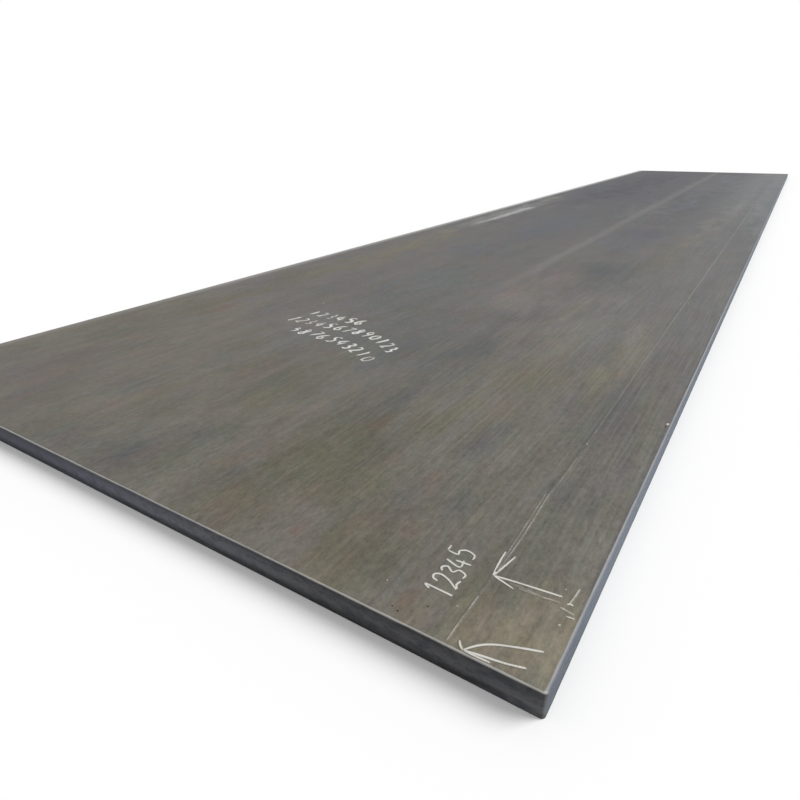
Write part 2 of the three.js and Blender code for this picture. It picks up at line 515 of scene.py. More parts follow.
def fleck(centre, long, wide, sizes, height):
    """A flat dome on the rolled face. At share r of its two half widths it stands
    height (1 - r^2) above the face, and its lower side is just inside it."""
    turn = np.linspace(0.0, 2.0 * np.pi, FLECK_POINTS, endpoint=False)
    shares = (1.0, 0.7, 0.35)
    rings = [np.stack((np.cos(turn) * long / 2 * r, np.sin(turn) * wide / 2 * r,
                       np.full_like(turn, 1.0 - r * r)), axis=1) for r in shares]
    points = np.concatenate((*rings, [[0.0, 0.0, 1.0]]))
    points[:, :2] += centre
    lift = height * points[:, 2] - CHALK_SINK
    points[:, 2] = top_height(points[:, 0], points[:, 1], sizes) + lift
    index = np.arange(FLECK_POINTS * len(shares)).reshape(len(shares), FLECK_POINTS)
    following = np.roll(index, -1, axis=1)
    walls = np.stack((index[:-1], following[:-1], following[1:], index[1:]), axis=-1)
    crown = [(a, b, index.size) for a, b in zip(index[-1].tolist(), following[-1].tolist())]
    return points, [index[0][::-1].tolist(), *walls.reshape(-1, 4).tolist(), *crown]


def joined(parts):
    """One set of arrays from several, with their point numbers carried on."""
    start, faces = 0, []
    for part in parts:
        faces += [[n + start for n in face] for face in part["faces"] + part["caps"]]
        start += len(part["points"])
    return (np.concatenate([p["points"] for p in parts]), faces,
            np.concatenate([p["uv"] for p in parts]), np.concatenate([p["weight"] for p in parts]))


def placed(name, data):
    """A new object in the scene that holds a mesh, a lamp or a camera."""
    made = bpy.data.objects.new(name, data)
    bpy.context.scene.collection.objects.link(made)
    return made


def new_mesh(name, points, faces, materials):
    mesh = bpy.data.meshes.new(name)
    mesh.from_pydata(np.asarray(points).tolist(), [], faces)
    for material in materials:
        mesh.materials.append(material)
    return mesh


def new_piece(name, points, faces, materials):
    """A piece of the plate from its points and faces, riding on the plate's body."""
    mesh = new_mesh(name, points, faces, materials)
    mesh.shade_smooth()
    piece = placed(name, mesh)
    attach(piece, BODY)
    return piece


def lay_uv(mesh, name, corners):
    """Writes one place per face corner into a new UV map."""
    mesh.uv_layers.new(name=name).data.foreach_set("uv", np.asarray(corners, np.float32).ravel())


def lay_values(mesh, name, values):
    """Writes one value per point into a new attribute."""
    layer = mesh.attributes.new(name, "FLOAT", "POINT")
    layer.data.foreach_set("value", np.asarray(values, np.float32))


def corner_numbers(mesh):
    """The point number of every face corner, in order."""
    numbers = np.empty(len(mesh.loops), np.int32)
    mesh.loops.foreach_get("vertex_index", numbers)
    return numbers


# ---------------------------------------------------------------------------------------
# Node helpers


class Wire:
    """The value at a node's output. Arithmetic on it adds a Math node to the same tree."""

    def __init__(self, socket):
        self.socket = socket

    def __add__(self, other):
        return maths("ADD", self, other)

    def __radd__(self, other):
        return maths("ADD", other, self)

    def __sub__(self, other):
        return maths("SUBTRACT", self, other)

    def __rsub__(self, other):
        return maths("SUBTRACT", other, self)

    def __mul__(self, other):
        return maths("MULTIPLY", self, other)

    def __truediv__(self, other):
        return maths("DIVIDE", self, other)

    def __pow__(self, other):
        return maths("POWER", self, other)

    def __abs__(self):
        return maths("ABSOLUTE", self)


def fill(node, inputs):
    """Gives a node's sockets, by name or number, each a value or a wire."""
    for socket, value in inputs.items():
        if isinstance(value, Wire):
            node.id_data.links.new(value.socket, node.inputs[socket])
        else:
            node.inputs[socket].default_value = value


def put(tree, kind, inputs=None, **settings):
    """Adds a node. `inputs` gives its sockets, by name or number, a value or a wire."""
    made = tree.nodes.new("ShaderNode" + kind)
    for name, value in settings.items():
        setattr(made, name, value)
    fill(made, inputs or {})
    return made


def wires(node):
    """A node's outputs by name."""
    return {socket.name: Wire(socket) for socket in node.outputs if socket.name}


def tree_of(*values):
    """The node tree of the first wire among the values."""
    return next(value.socket.id_data for value in values if isinstance(value, Wire))


def maths(operation, a, b=0.0, clamp=False):
    """A Math node's value. One of a and b is a wire."""
    made = put(tree_of(a, b), "Math", {0: a, 1: b}, operation=operation, use_clamp=clamp)
    return Wire(made.outputs[0])


def vectors(operation, a, b=(0.0, 0.0, 0.0), output="Vector"):
    """A Vector Math node's result. One of a and b is a wire."""
    made = put(tree_of(a, b), "VectorMath", {0: a, 1: b}, operation=operation)
    return Wire(made.outputs[output])


def scaled(vector, factor):
    """A place or a colour times a value."""
    made = put(tree_of(vector), "VectorMath", {0: vector, "Scale": factor}, operation="SCALE")
    return Wire(made.outputs[0])


def split(vector):
    """The three parts of a place or a colour."""
    return [Wire(socket) for socket in put(tree_of(vector), "SeparateXYZ", {0: vector}).outputs]


def stretched(place, factors, shift=(0.0, 0.0, 0.0)):
    """The place times the factors, part by part, plus the shift."""
    made = put(tree_of(place), "Mapping", {"Vector": place, "Location": shift, "Scale": factors})
    return Wire(made.outputs[0])


def noise(place, factors, detail, rough, shift=(0.0, 0.0, 0.0), output="Fac"):
    """Fractal noise over the stretched and shifted place."""
    made = put(tree_of(place), "TexNoise", {
        "Vector": stretched(place, factors, shift), "Scale": 1.0, "Detail": detail,
        "Roughness": rough})
    return Wire(made.outputs[output])


def window(value, low, high, to_low=0.0, to_high=1.0):
    """A smooth step: to_low below low, to_high above high."""
    made = put(tree_of(value), "MapRange", {0: value, 1: low, 2: high, 3: to_low, 4: to_high},
               interpolation_type="SMOOTHSTEP")
    return Wire(made.outputs[0])


def swing(value, strength):
    """A value about a half as a swing about zero of this strength."""
    return (value - 0.5) * strength


def blended(factor, a, b):
    """Colour a where the factor is 0, and colour b where it is 1."""
    made = put(tree_of(factor, a, b), "Mix", {0: factor, 6: a, 7: b}, data_type="RGBA")
    return Wire(made.outputs[2])


def new_group(name, inputs, outputs):
    """An empty node group with these sockets. Returns its inputs as wires by name, and the
    node that takes its outputs."""
    tree = bpy.data.node_groups.new(name, "ShaderNodeTree")
    for label, kind, default in inputs:
        socket = tree.interface.new_socket(label, in_out="INPUT", socket_type="NodeSocket" + kind)
        if default is not None:
            socket.default_value = default
    for label, kind in outputs:
        tree.interface.new_socket(label, in_out="OUTPUT", socket_type="NodeSocket" + kind)
    return wires(tree.nodes.new("NodeGroupInput")), tree.nodes.new("NodeGroupOutput")


def use(name, inputs):
    """Places a node group that is already built, and returns its outputs by name."""
    group = bpy.data.node_groups[name]
    return wires(put(tree_of(*inputs.values()), "Group", inputs, node_tree=group))


def new_material(name):
    """A material, its tree, its Object coordinates and its Principled shader."""
    material = bpy.data.materials.new(name)
    material.use_nodes = True
    tree = material.node_tree
    tree.nodes.clear()
    place = wires(put(tree, "TexCoord"))["Object"]
    shader = put(tree, "BsdfPrincipled")
    put(tree, "OutputMaterial", {"Surface": Wire(shader.outputs[0])})
    return material, tree, place, shader


def attribute(tree, name):
    """The value of a piece's own attribute."""
    return wires(put(tree, "Attribute", attribute_name=name))["Fac"]


def dress(shader, colour, rough, height, gloss, strength, depth):
    """Gives a Principled shader its colour, roughness and gloss, and a bump that stands the
    height times the depth off the surface."""
    relief = put(shader.id_data, "Bump", {"Strength": strength, "Distance": depth, "Height": height})
    fill(shader, {"Base Color": colour, "Roughness": rough, "Specular IOR Level": gloss,
                  "Normal": Wire(relief.outputs[0])})


# ---------------------------------------------------------------------------------------
# The rolled face. In the steps of a finish, places are in metres in the frame: x runs from
# the chalked end at -6.075 to the far end, and y from the right side at -1.25 to the left.


def build_placed_patch():
    """Group: a soft ragged patch at one place. Its mask falls smoothly from 1 at the centre
    to 0 where the distance, measured in radii and bent by a shared noise, reaches 1."""
    entry, leave = new_group(
        "placed_patch",
        (("Place", "Vector", None), ("Centre", "Vector", None), ("Radii", "Vector", (1, 1, 1)),
         ("Bend", "Float", 0.0), ("Strength", "Float", 1.0)),
        (("Mask", "Float"),),
    )
    away = vectors("SUBTRACT", entry["Place"], entry["Centre"])
    far = vectors("LENGTH", vectors("DIVIDE", away, entry["Radii"]), output="Value")
    fill(leave, {"Mask": window(far + entry["Bend"], 0.1, 1.0, 1.0, 0.0) * entry["Strength"]})


def build_steel_grain():
    """Group: the fine mottle of oxide on steel, and its sparse dark pits."""
    entry, leave = new_group(
        "steel_grain", (("Place", "Vector", None), ("Size", "Float", 1.0)),
        (("Mottle", "Float"), ("Pits", "Float")),
    )
    place = scaled(entry["Place"], entry["Size"])
    cells = wires(put(tree_of(place), "TexVoronoi", {
        "Vector": stretched(place, (11.0, 14.0, 14.0)), "Scale": 1.0, "Randomness": 1.0}))
    chance = split(cells["Color"])[0]
    pit = window(cells["Distance"], 0.02, 0.05, 1.0, 0.0)
    fill(leave, {"Mottle": noise(place, (42.0, 78.0, 78.0), detail=4.0, rough=0.85),
                 "Pits": pit * maths("GREATER_THAN", chance, 0.8)})


# Blooms of oxide on the rolled face. Each has its strength in hundredths, and in centimetres
# its centre from the near right corner, along and across, and its two radii.
BLOOMS = {
    "grey": (
        (80, 150, 122, 95, 60), (80, 110, 86, 48, 26), (60, 320, 130, 80, 30),
        (40, 140, 22, 120, 24), (50, 52, 18, 16, 8), (50, 460, 30, 150, 24),
    ),
    "slate": (
        (45, 7, 148, 12, 16), (40, 10, 116, 10, 14), (30, 20, 29, 12, 5), (30, 125, 98, 42, 28),
        (50, 10, 130, 14, 10), (28, 64, 44, 24, 11), (25, 98, 19, 42, 11), (40, 69, 80, 28, 12),
        (30, 56, 8, 26, 5), (85, 290, 68, 60, 42), (60, 360, 80, 40, 6), (60, 453, 213.5, 20, 3.5),
        (50, 38, 35, 10, 7), (40, 130, 80, 35, 12), (50, 460, 152, 260, 34), (50, 26, 111, 22, 14),
        (35, 22, 130, 14, 10), (30, 43, 162, 24, 15), (35, 185, 188, 55, 18), (25, 60, 225, 60, 22),
        (35, 70, 26.2, 32, 3.5), (30, 108, 14, 25, 5),
    ),
    "olive": (
        (85, 36, 70, 40, 36), (60, 12, 86, 20, 26), (70, 10, 46, 16, 16), (60, 70, 122, 34, 22),
        (50, 70, 62, 16, 10), (30, 70, 238, 60, 14), (50, 100, 220, 90, 18), (50, 190, 225, 80, 15),
        (50, 631, 187, 30, 9), (50, 17, 14, 14, 11), (50, 640, 228, 55, 10), (30, 33, 136, 22, 10),
        (40, 190, 30, 60, 16), (50, 350, 45, 110, 20),
    ),
    "gold": (
        (60, 110, 50, 42, 15), (50, 125, 30, 34, 10), (40, 185, 50, 70, 20), (85, 275, 215, 90, 20),
        (70, 360, 222, 60, 16), (50, 36, 147, 22, 7), (40, 59, 115, 16, 7), (40, 56, 33, 20, 8),
        (30, 390, 45, 60, 6), (40, 22, 45, 12, 8),
    ),
    "rust": (
        (60, 125, 212, 22, 7), (50, 10, 60, 5, 3.5), (40, 23, 39, 6, 3), (50, 5, 29, 5, 3.5),
        (40, 23, 72, 5, 4), (30, 35, 200, 50, 40), (30, 298, 192, 30, 8), (40, 45, 45, 9, 3),
        (30, 60, 72, 7, 4),
    ),
    "pink": (
        (75, 245, 88, 75, 20), (60, 220, 95, 45, 18), (35, 440, 37, 90, 10), (60, 630, 30, 120, 9),
        (40, 230, 22, 45, 6), (40, 574, 205, 45, 6), (35, 15, 10, 8, 6), (30, 12, 26, 7, 5),
    ),
    "teal": ((80, 230, 146, 70, 30), (70, 603, 176, 32, 11), (50, 690, 79, 60, 5)),
    "blue": (
        (70, 450, 158, 100, 34), (65, 420, 84, 70, 28), (50, 320, 170, 50, 30),
        (70, 670, 85, 90, 13), (60, 1050, 76, 160, 20),
    ),
    "violet": (
        (80, 760, 172, 220, 22), (50, 1150, 90, 35, 25), (50, 320, 66, 9, 6), (40, 64, 44, 16, 6),
        (30, 30, 200, 50, 40), (45, 95, 1, 45, 1), (55, 450, 80, 36, 34), (50, 820, 170, 160, 26),
    ),
    "dusk": (
        (75, 960, 185, 320, 50), (50, 720, 190, 160, 22), (50, 1220, 160, 50, 120),
        (40, 800, 105, 120, 9), (50, 980, 95, 90, 14), (20, 300, 70, 26, 30),
        (60, 770, 185, 100, 45), (45, 800, 48, 140, 22),
    ),
    "light": (
        (28, 64, 10, 14, 5), (25, 190, 44, 55, 26), (28, 62, 33, 12, 5), (20, 125, 160, 30, 12),
        (20, 215, 90, 45, 16), (24, 125, 150, 36, 26), (45, 620, 8, 90, 12), (50, 1100, 8, 240, 10),
        (40, 640, 236, 80, 10), (25, 960, 88, 360, 36), (22, 620, 110, 130, 28),
    ),
    "sand": (
        (22, 14, 102, 30, 10), (100, 7, 7, 18, 15), (35, 130, 28, 36, 9), (18, 2, 30, 7, 40),
        (30, 170, 24, 55, 12), (25, 530, 42, 140, 10), (20, 10, 82, 11, 9), (30, 14, 5, 22, 6),
        (25, 210, 62, 35, 10), (25, 40, 5, 16, 5),
    ),
    "pale": ((12, 1200, 20, 70, 30),),
}

# Rubbed places beside the left side, with the painted shade of a dent among them: colour,
# raggedness as a share of a bloom's, and bloom
RUBS = (
    ("haze", 0.5, (24, 530, 225, 230, 17)),
    ("haze", 0.5, (30, 520, 231, 110, 13)),
    ("scuff", 0.5, (48, 512, 222.2, 120, 6.4)),
    # painted shade in a dent
    ("dent_shade", 0.4, (45, 450, 214, 18, 3)),
    ("faded", 0.4, (30, 660, 232, 150, 5)),
)
BLOOM_HEIGHT = 10.0  # upright radius of a bloom, far more than the plate is thick

# Small scattered patches of oxide: colour and strength
SCATTERED = (("olive", 0.46), ("slate", 0.34), ("rust", 0.26))

STEEL_GLOSS = 0.06
BRIGHTNESS = (0.28, 0.54, 0.18)  # weights of red, green and blue
COLD_CAST = (1.03, 1.10, 1.14)
STRIPE_PLACE = 1.093  # from the right side, at the middle of the length
STRIPE_SLOPE = 0.0029


class FaceFields:
    """The place on a rolled face, and the noises that the steps of its finish share."""

    def __init__(self, entry):
        self.entry = entry
        self.place = entry["Place"]
        self.x, self.y, _ = split(self.place)
        self.from_side = self.y - RIGHT_SIDE
        self.bend = noise(self.place, (2.6, 7.0, 1.0), detail=5.0, rough=0.7)
        self.ragged = swing(self.bend, 2.8)
        self.fine = noise(self.place, (3.0, 85.0, 1.0), detail=3.0, rough=0.75, shift=(3.1, 0.0, 0.0))
        self.hair = noise(self.place, (3.6, 135.0, 1.0), detail=0.0, rough=0.5, shift=(7.7, 1.3, 0.0))
        grain = use("steel_grain", {"Place": self.place})
        self.mottle, self.pits = grain["Mottle"], grain["Pits"]
        self.torn = self.mottle + swing(self.fine, 0.8)
        # Streaks are strongest towards the right side, and weak beside the chalked end
        self.streaked = window(self.y + swing(self.bend, 1.5), -0.9, 0.0, 1.0, 0.60)
        self.streaked = self.streaked * window(self.x, -6.0, -5.4, 0.5, 1.0)

    def mask(self, bloom, bend):
        """The mask of one bloom, whose border strays by the bend."""
        strength, along, across, long, wide = (value / 100 for value in bloom)
        return use("placed_patch", {
            "Place": self.place, "Centre": (NEAR_END + along, RIGHT_SIDE + across, 0.0),
            "Radii": (long, wide, BLOOM_HEIGHT), "Bend": bend, "Strength": strength})["Mask"]


def grounds(face):
    """The near, middle and far grounds, with ragged borders."""
    drift = face.x + swing(face.bend, 4.0)
    colour = blended(window(drift, -5.4, -4.0), face.entry["near"], face.entry["middle"])
    return blended(window(drift, -3.5, 1.0), colour, face.entry["far"])


def with_blooms(face, colour):
    """The broad blooms of oxide, each laid over the ones before it."""
    for name, blooms in BLOOMS.items():
        for bloom in blooms:
            colour = blended(face.mask(bloom, face.ragged), colour, face.entry[name])
    return colour


def with_side_strip(face, colour):
    """A lighter strip along the right side and a broad fainter one inside it, a dark heated
    line beside the cut, and a colder cast away from the chalked end."""
    strayed = face.from_side + swing(face.bend, 0.30)
    narrow = window(face.x, -5.6, -3.2, 0.12, 0.36) + window(face.x, -2.2, -0.8, 0.0, 0.24)
    narrow = narrow * window(strayed, 0.0, 0.16, 1.0, 0.0)
    broad = window(face.x, -5.0, -4.0, 0.0, 0.26) + window(face.x, -1.4, 1.4, 0.0, 0.36)
    broad = broad * window(strayed, 0.26, 0.84, 1.0, 0.0)
    colour = blended(maths("MAXIMUM", narrow, broad), colour, face.entry["light"])
    heated = window(face.from_side, 8 * MM, 16 * MM, 0.42, 0.0)
    heated = heated * window(face.x, -6.02, -5.70, 0.3, 1.0)
    colour = blended(heated, colour, face.entry["slate"])
    cold = window(strayed, 0.04, 0.20, 0.7, 0.0) * window(face.x, -2.6, 0.0)
    return blended(cold, colour, vectors("MULTIPLY", colour, COLD_CAST))


def with_scattered(face, colour):
    """Small patches of oxide, strongest near the chalked end."""
    fade = window(face.x, -5.0, -1.0, 1.0, 0.6) * window(face.y, -0.9, -0.2, 0.6, 1.0)
    fields = split(noise(face.place, (4.0, 10.0, 1.0), detail=3.0, rough=0.6, output="Color"))
    for field, (name, strength) in zip(fields, SCATTERED):
        mask = window(field, 0.45, 0.75, 0.0, strength) * fade
        colour = blended(mask, colour, face.entry[name])
    return colour


def with_tint(face, colour):
    """Drifts of hue. Each part of a colour noise less their weighted mean tints the colour,
    so that its brightness stays."""
    hue = noise(face.place, (4.0, 16.0, 1.0), detail=3.0, rough=0.8, output="Color")
    hue = vectors("SUBTRACT", hue, vectors("DOT_PRODUCT", hue, BRIGHTNESS, output="Value"))
    return vectors("MULTIPLY", colour, vectors("ADD", scaled(hue, 0.24), (1.0, 1.0, 1.0)))


def streaks_of(face):
    """The rolling streaks, wide, fine and hair-thin."""
    wide = noise(face.place, (1.3, 30.0, 1.0), detail=3.0, rough=0.8)
    streaks = (swing(wide, 0.45) + swing(face.fine, 1.0)) * (face.entry["streaks"] * face.streaked)
    return streaks + swing(face.hair, 0.07) * face.streaked


def level_of(face, streaks):
    """How much lighter or darker than its colour the scale is: streaks, clouds, long bands,
    and a speckle that is strongest by the chalked corner and along the left side."""
    x, y = face.x, face.y
    clouds = noise(face.place, (2.2, 6.0, 1.0), detail=6.0, rough=0.78, shift=(4.0, 2.0, 0.0))
    level = streaks + swing(clouds, face.entry["tone"] * window(x, -4.5, 1.0, 1.0, 1.5))
    bands = noise(face.place, (0.16, 8.0, 1.0), detail=3.0, rough=0.65, shift=(2.2, 5.0, 0.0))
    reach = window(x, -5.0, 0.0, 0.3, 0.8) * window(y, -0.6, 0.4, 1.0, 0.5)
    level = level + swing(bands, reach)
    at_left = window(y, -0.6, 0.4, 1.0, 1.6) * window(x, -5.2, -4.2, 0.75, 1.0)
    speckle = maths("MAXIMUM", window(x + y * 0.6, -6.3, -5.2, 1.6, 1.05), at_left)
    scraped = window(y, 0.96, 1.08) * window(x, -3.5, -1.8, 0.4, 1.6)
    scraped = scraped * window(x, -0.6, 0.2, 1.0, 0.2)
    level = level + swing(face.mottle, (speckle + scraped) * face.entry["grain"])
    return level + scraped * 0.05


def with_stripe(face, colour):
    """The pale stripe along the middle, with the plate a little darker to its left."""
    lane = face.from_side - face.x * STRIPE_SLOPE - STRIPE_PLACE
    started = window(face.x, -4.5, -2.9) * window(face.x, -2.4, -0.9, 1.0, 0.72)
    left = window(lane, -0.03, 0.05) * started
    colour = scaled(colour, 1.0 - left * 0.02)
    crown = abs(lane + swing(face.bend, 0.08)) / window(face.x, -3.0, 1.5, 0.70, 1.0)
    crown = window(crown, 0.008, 0.085, 0.50, 0.0) * started
    return blended(crown * window(face.fine, 0.25, 0.60, 0.6, 1.0), colour, face.entry["stripe"])


def with_rubs(face, colour):
    """The white scuff by the left side, and what lies round it."""
    torn = window(face.torn, 0.30, 0.60, 0.25, 1.1)
    for name, raggedness, bloom in RUBS:
        mask = face.mask(bloom, face.ragged * raggedness) * torn
        colour = blended(mask, colour, face.entry[name])
    return colour


def with_sheen_rim(face, colour):
    """The light rim along the left side, wider and lighter towards the far end: a painted sheen
    where the rolled face turns down to its edge, made ragged by noise.
    """
    inward = (WIDTH / 2 - face.y) / window(face.x, -4.0, 5.0, 0.073, 0.108)
    rim = window(inward + swing(face.torn, 1.0), 0.2, 1.0, 1.0, 0.0)
    rim = rim * window(face.torn, 0.30, 0.60, 0.70, 1.05)
    edge_highlight = window(face.x, -5.1, -4.3, 0.16, 0.37) + window(face.x, -4.3, -0.3, 0.0, 0.45)
    return blended(rim * edge_highlight, colour, face.entry["rim"])


def build_mill_scale(finish):
    """Group: the whole finish of a rolled face, from the place on it. Chalk uses it too, so
    that the scale shows through a broken stroke."""
    colours = ("near", "middle", "far", "stripe", "scuff", "haze", "dent_shade", "faded", "rim", "pit")
    shares = ("streaks", "lines", "tone", "grain")
    inputs = [("Place", "Vector", None)]
    inputs += [(name, "Color", getattr(finish, name)) for name in (*colours, *BLOOMS)]
    inputs += [(name, "Float", getattr(finish, name)) for name in shares]
    outputs = (("Colour", "Color"), ("Roughness", "Float"), ("Height", "Float"))
    entry, leave = new_group("mill_scale", inputs, outputs)
    face = FaceFields(entry)
    colour = grounds(face)
    for lay in (with_blooms, with_side_strip, with_scattered, with_tint):
        colour = lay(face, colour)

    streaks = streaks_of(face)
    level = level_of(face, streaks)
    colour = scaled(colour, level + 1.0)
    lines = window(face.hair, 0.56, 0.80) * (entry["lines"] * face.streaked)
    lines = lines * window(face.x, -4.6, -2.6, 1.0, 0.1)
    colour = blended(lines, colour, entry["pale"])
    colour = blended(face.pits * 0.6, colour, entry["pit"])
    for lay in (with_stripe, with_rubs, with_sheen_rim):
        colour = lay(face, colour)

    fill(leave, {
        "Colour": colour,
        "Roughness": 0.62 + level * 0.4 - lines * 0.1,
        "Height": streaks * 0.8 + face.mottle * 0.7 - face.pits,
    })


def scale_material(finish):
    """The rolled faces."""
    material, _, place, shader = new_material("rolled_scale")
    scale = use("mill_scale", {"Place": place})
    dress(shader, scale["Colour"], scale["Roughness"], scale["Height"],
          gloss=STEEL_GLOSS, strength=0.6, depth=finish.bump)
    return material


# ---------------------------------------------------------------------------------------
# The cut faces, chalk and flecks

DRAG_LAG = 9 * MM  # how far a drag line trails at the underside
LIT_BAND_HEIGHT = 30 * MM  # above the underside, where the painted reflected light makes the face lightest
ARRIS_START = 53.5 * MM  # above the underside, where a long side's arris is painted bright: wear and painted highlight
END_RISE = 2.8 * MM  # how much higher that is on an end
END_CASTS = ((1.02, 1.01, 0.97, 1.0), (0.97, 0.98, 1.08, 1.0))  # right and left of an end


class CutFields:
    """The place on a cut face, the noises that the steps of its finish share, and a mask
    that is 1 on an end and 0 on a long side."""

    def __init__(self, place):
        self.x, self.y, self.z = split(place)
        lag = (1.0 - self.z / THICKNESS) ** 2.0 * DRAG_LAG
        parts = {0: self.x + self.y + lag, 1: self.z, 2: 0.0}
        path = Wire(put(tree_of(place), "CombineXYZ", parts).outputs[0])
        self.drag = noise(path, (420.0, 26.0, 1.0), detail=2.0, rough=0.6)
        self.slow = noise(path, (7.0, 60.0, 1.0), detail=4.0, rough=0.7)
        self.blotch = noise(path, (26.0, 60.0, 1.0), detail=4.0, rough=0.7, shift=(5.0, 0.0, 0.0))
        self.mottle = use("steel_grain", {"Place": place, "Size": 2.2})["Mottle"]
        self.height = self.z + swing(self.slow, 20 * MM)
        self.is_end = window(abs(self.x), LENGTH / 2 - 8.5 * MM, LENGTH / 2 - 4 * MM)


def cut_tone(cut):
    """Light and dark of the drag lines, blotches and mottle, blotchier on an end."""
    tone = swing(cut.drag, 0.4) + swing(cut.slow, 0.9) + swing(cut.mottle, 0.6)
    return tone + swing(cut.blotch, 1.5 + cut.is_end * 2.5)


def cut_ground(cut, tone, finish):
    """The oxide with its cool and warm blotches, on an end a darker ground that is partly
    painted shade. The middle of the face is painted lighter, most of all on an end: painted
    light reflected up from below. The face is scorched beside the chalked end."""
    # Painted reflected light: lighter about the band's height, most of all on an end
    outside_lit_band = window(abs(cut.height - LIT_BAND_HEIGHT), 2 * MM, 26 * MM)
    level = tone - outside_lit_band * (0.08 + cut.is_end * 0.40) + (1.0 + cut.is_end * 0.25)
    # On an end the ground is darker, partly as painted shade
    colour = scaled(blended(cut.is_end, finish.side, finish.end), level)
    scorched = window(cut.x, -6.02, -5.70, 0.84, 1.15) * window(cut.x, -5.5, -4.8, 1.0, 0.86)
    colour = scaled(colour, scorched)
    cool = blended(cut.is_end, finish.side_cool, finish.end_cool)
    colour = blended(window(cut.blotch, 0.36, 0.49, 0.40, 0.0), colour, cool)
    warm = blended(cut.is_end, finish.side_warm, finish.end_warm)
    return blended(window(cut.blotch, 0.51, 0.64, 0.0, 0.40), colour, warm)


def with_end_shades(cut, colour, soot_and_shade):
    """An end is greyer and lighter away from the chalked corner, and bluer to the left, with painted
    reflected light low by the right corner. Low on every face it darkens to the soot colour:
    painted shade at the foot of the plate."""
    # Painted reflected light: lighter low on an end by the right corner
    low_light_by_corner = window(cut.y, -1.24, -1.10, 0.8, 0.0) * window(cut.z, 4 * MM, 34 * MM, 1.0, 0.0)
    lighter = window(cut.y, -0.90, -0.42, 0.20, 0.80) - window(cut.y, -0.10, 0.35, 0.0, 0.42)
    colour = scaled(colour, 1.0 + cut.is_end * (low_light_by_corner + lighter))
    cast = blended(window(cut.y, -1.0, 0.1), *END_CASTS)
    colour = blended(cut.is_end, colour, vectors("MULTIPLY", colour, cast))
    # Painted shade: darker low down on every face, at the plate's foot
    low = window(cut.height, 1 * MM, 24 * MM, 1.0, 0.0)
    low = low * window(cut.y, -1.24, -1.00, 0.20, 0.52)
    return blended(low, colour, soot_and_shade)


def arris_wear_and_highlight(cut):
    """Where the top arris is painted bright, partly wear and partly a painted highlight where the
    round catches the light: all of it on an end, and on a long side its inner edge, most of
    all near the chalked end. The corner's upright edge gets a faint painted highlight."""
    start = ARRIS_START + cut.is_end * END_RISE
    edge_highlight = window(cut.z + swing(cut.slow, 3 * MM), start, start + 1.6 * MM)
    crest = window(abs(cut.y), WIDTH / 2 - 4.2 * MM, WIDTH / 2 - 1 * MM, 1.0, 0.22)
    crest = crest * window(cut.x, -4.2, -2.4, 1.0, 0.55)
    at_side = window(abs(cut.y), WIDTH / 2 - 6.5 * MM, WIDTH / 2 - 3.5 * MM)
    return maths("MAXIMUM", edge_highlight * maths("MAXIMUM", crest, cut.is_end),
                 cut.is_end * at_side * 0.22)


def cut_material(finish):
    """Flame-cut steel: drag lines that lean with depth, a painted lit band, a bright arris that
    is partly wear and partly painted highlight, and painted shade low down.
    """
    material, _, place, shader = new_material("flame_cut")
    cut = CutFields(place)
    tone = cut_tone(cut)
    colour = with_end_shades(cut, cut_ground(cut, tone, finish), finish.soot_and_shade)
    # The bright arris: partly wear, partly painted highlight
    edge_highlight = arris_wear_and_highlight(cut)
    patchiness = maths("ADD", 0.90 + swing(cut.blotch, 0.9), swing(cut.slow, 1.0), clamp=True)
    bright = blended(cut.is_end, finish.side_arris, finish.end_arris)
    colour = blended(edge_highlight * patchiness, colour, bright)
    height = cut.drag * 0.6 + cut.mottle * 0.4
    rough = 0.58 + tone * 0.4 - edge_highlight * 0.1
    dress(shader, colour, rough, height, gloss=STEEL_GLOSS, strength=0.7, depth=finish.bump)
    return material


def chalk_material(marks):
    """Dry chalk dragged over scale: solid along the middle of a stroke, broken towards its
    edges, with the scale's own finish in the gaps."""
    material, tree, place, shader = new_material("dry_chalk")
    scale = use("mill_scale", {"Place": place})
    _, across, _ = split(wires(put(tree, "UVMap", uv_map="ChalkPath"))["UV"])
    body = window(abs(across * 2.0 - 1.0), 0.0, 0.95, 1.0, 0.0)
    dust = noise(place, (900.0, 900.0, 900.0), detail=2.0, rough=0.6)
    drags = noise(place, (120.0, 260.0, 1.0), detail=3.0, rough=0.6)
    cover = body * (attribute(tree, "weight") * 1.1) - (dust * 0.45 + drags * 0.55)
    cover = window(cover, -0.30, 0.45)
    colour = blended(cover, scale["Colour"], marks.colour)
    rough = cover * 0.3 + scale["Roughness"]
    height = scale["Height"] + cover
    dress(shader, colour, rough, height, gloss=0.25, strength=0.5, depth=marks.height)
    return material


def fleck_material(finish):
    """A fleck beside the cut, by the piece's own attribute: bright metal, or the dark colour that
    serves for burnt slag and for one painted shadow.
    """
    material, tree, place, shader = new_material("fleck")
    grain = use("steel_grain", {"Place": place, "Size": 4.0})["Mottle"]
    bright = window(attribute(tree, "bright") + swing(grain, 0.5), 0.1, 0.9)
    colour = blended(bright, finish.soot_and_shade, finish.end_arris)
    rough = window(grain, 0.3, 0.7, 0.65, 0.45)
    dress(shader, colour, rough, grain, gloss=0.2, strength=0.5, depth=finish.bump)
    return material


def material_named(name, maker, *values):
    """The material if it is there already, and otherwise a new one."""
    return bpy.data.materials.get(name) or maker(*values)


def prepare_groups(scene):
    """Builds the shared node groups once."""
    if "placed_patch" in bpy.data.node_groups:
        return
    build_placed_patch()
    build_steel_grain()
    build_mill_scale(scene.mill_scale_finish)


# ---------------------------------------------------------------------------------------
# Chalk marks, in millimetres from the near right corner: along the plate, across it

FOOT_STEP = 2.0  # between points of the line that a row of digits stands on

